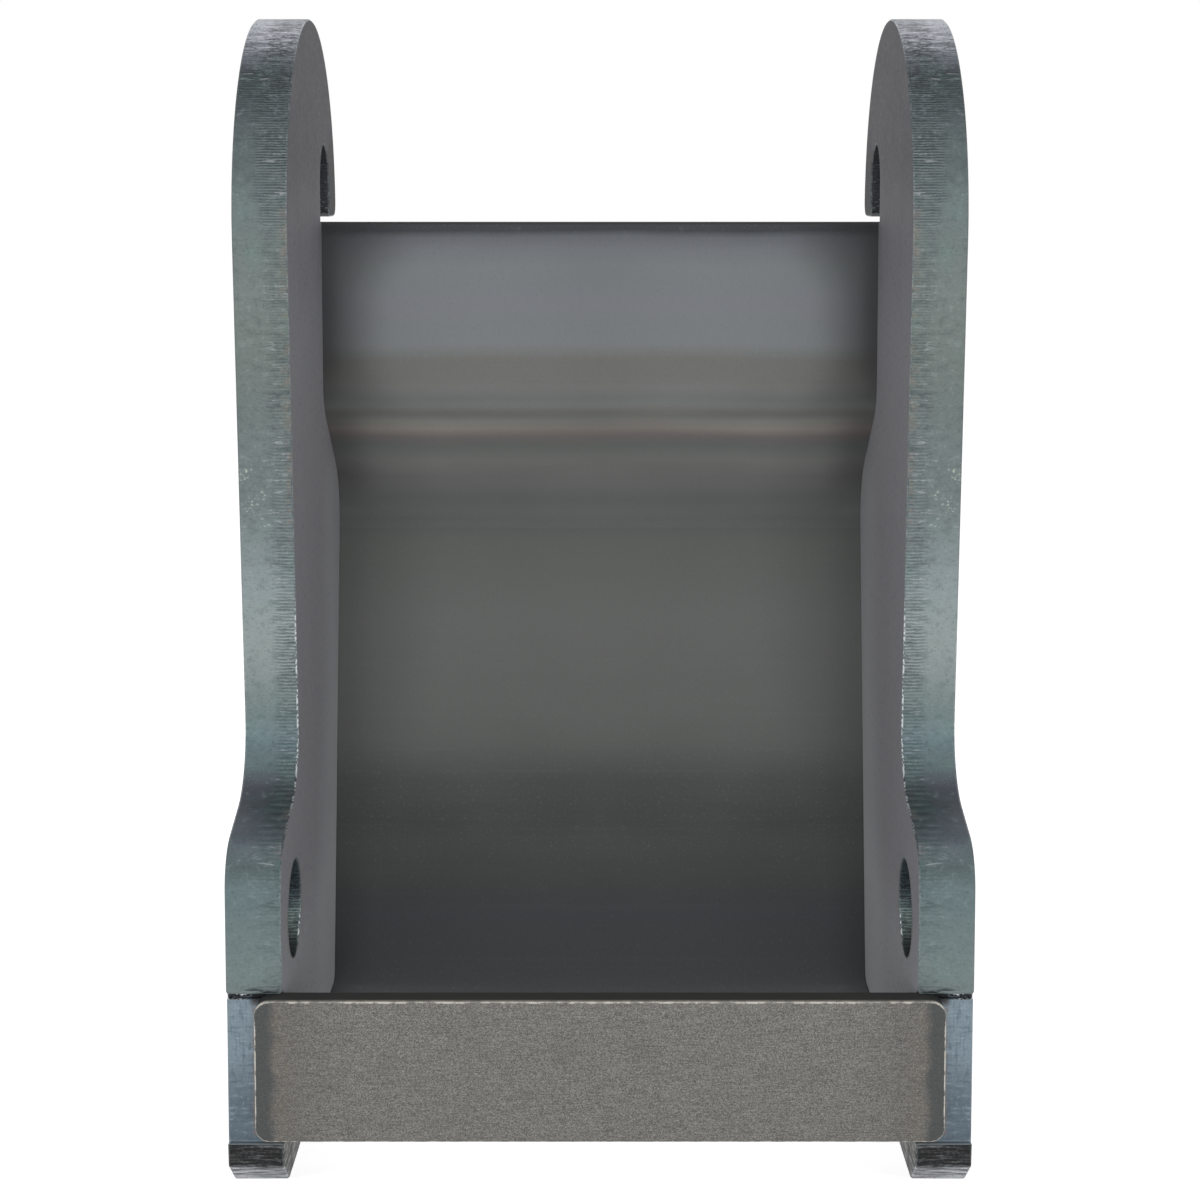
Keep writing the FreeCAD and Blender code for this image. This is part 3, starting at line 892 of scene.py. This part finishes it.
def makeWelds(material):
    cloud = bpy.data.textures.new("beadCloud", "CLOUDS")
    cloud.noise_scale = weldBead["unevenSize"]
    seam, heel, run = seamRoute, heelRoute, barWeldRoute
    for side, way in (("left", -1.0), ("right", 1.0)):
        corners = [(Vector((way * seam["across"], depth * mm, height * mm)), bend * mm)
                   for depth, height, bend in seam["corners"]]
        bead = layBead(side + "BackSeam", corners, weldBead["radius"], cloud)
        seatBead(bead, side + "_back_seam_weld", material)

        corners = [(Vector((way * across, heel["depth"], heel["height"])), 0.0)
                   for across in heel["across"]]
        bead = layBead(side + "HeelBead", corners, heel["radius"], cloud)
        seatBead(bead, side + "_heel_weld", material)

        corners = [(Vector((way * run["across"], run["depth"], height)), 0.0)
                   for height in (run["low"], run["high"])]
        bead = layBead(side + "BarBead", corners, weldBead["radius"], cloud)
        seatBead(bead, side + "_bar_weld", material)
    print("weld beads laid")


studio = {
    "floorSize": 40.0,
    "floorColour": (0.86, 0.86, 0.86, 1.0),
    "floorGlow": 0.75,
    "floorGlowInMetal": 0.75,
    "skyForLight": 0.25,
    "lamps": [                                          # name, place, size in metres, watts
        ("topLamp", (0.0, -0.7, 2.0), 1.8, 14.0),
        ("leftLamp", (-1.72, -1.25, -0.02), 0.66, 17.0),
        ("rightLamp", (1.72, -1.25, -0.02), 0.66, 17.0),
        ("frontLamp", (0.0, -2.4, -0.22), 0.28, 5.5),
    ],
    "aim": (0.0, 0.0, -0.16),
}

view = {
    "lens": 69.9,                                       # mm, like the sensor's width
    "sensor": 36.0,
    "place": (0.0, -0.960, -0.0015),
    "tilt": 85.0,                                       # degrees; 90 looks level
    "shift": -0.175,
}


def lampAt(name, place, size, power):
    bpy.ops.object.light_add(type="AREA", location=place)
    lamp = bpy.context.object
    lamp.name = name
    lamp.data.shape = "DISK"
    lamp.data.size = size
    lamp.data.energy = power
    aim = Vector(studio["aim"]) - Vector(place)
    lamp.rotation_euler = aim.to_track_quat("-Z", "Y").to_euler()
    return lamp


def seenRays(start):
    # 1 for what the camera sees directly, and 1 for what it sees in metal and glass
    direct = start.node("ShaderNodeLightPath", {}, {}, "Is Camera Ray")
    glossy = start.node("ShaderNodeLightPath", {}, {}, "Is Glossy Ray")
    through = start.node("ShaderNodeLightPath", {}, {}, "Is Transmission Ray")
    return direct, glossy.larger(through)


def makeStudio():
    bpy.ops.object.select_all(action="DESELECT")
    bpy.ops.mesh.primitive_plane_add(size=studio["floorSize"], location=(0, 0, cadBox[0][2]))
    floor = bpy.context.object
    floor.name = "studioFloor"
    material, shader = startMaterial("paleFloor")[:2]
    direct, mirrored = seenRays(Wire(material.node_tree))
    connect(material, shader, {"Base Color": studio["floorColour"], "Roughness": 0.9})
    strength = direct * studio["floorGlow"] + mirrored * studio["floorGlowInMetal"]
    glow = strength.node("ShaderNodeEmission", {}, {"Color": (1, 1, 1, 1), "Strength": strength})
    total = glow.node("ShaderNodeAddShader", {}, {0: Wire(material.node_tree, shader.outputs[0]), 1: glow})
    out = material.node_tree.nodes["Material Output"]
    material.node_tree.links.new(total.socket, out.inputs["Surface"])
    floor.data.materials.append(material)

    world = bpy.data.worlds.new("studioSky")
    bpy.context.scene.world = world
    world.use_nodes = True
    sky = world.node_tree.nodes["Background"]
    direct, mirrored = seenRays(Wire(world.node_tree))
    strength = studio["skyForLight"] + direct.larger(mirrored) * (1.0 - studio["skyForLight"])
    world.node_tree.links.new(strength.socket, sky.inputs["Strength"])
    sky.inputs["Color"].default_value = (1.0, 1.0, 1.0, 1.0)

    for name, place, size, watts in studio["lamps"]:
        lampAt(name, place, size, watts)

    bpy.ops.object.camera_add(location=view["place"], rotation=(radians(view["tilt"]), 0, 0))
    camera = bpy.context.object
    camera.data.lens = view["lens"]
    camera.data.sensor_width = view["sensor"]
    camera.data.shift_y = view["shift"]
    bpy.context.scene.camera = camera
    bpy.context.scene.view_settings.view_transform = "Standard"
    print("studio ready")


dress("left_side_plate", makePlateFinish())
dress("right_side_plate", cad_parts["left_side_plate"].data.materials[0])
dress("back_plate", makeSheetFinish())
dress("lower_cross_bar", makeBarFinish())
print("finishes on")
makeWelds(makeWeldFinish())
makeStudio()
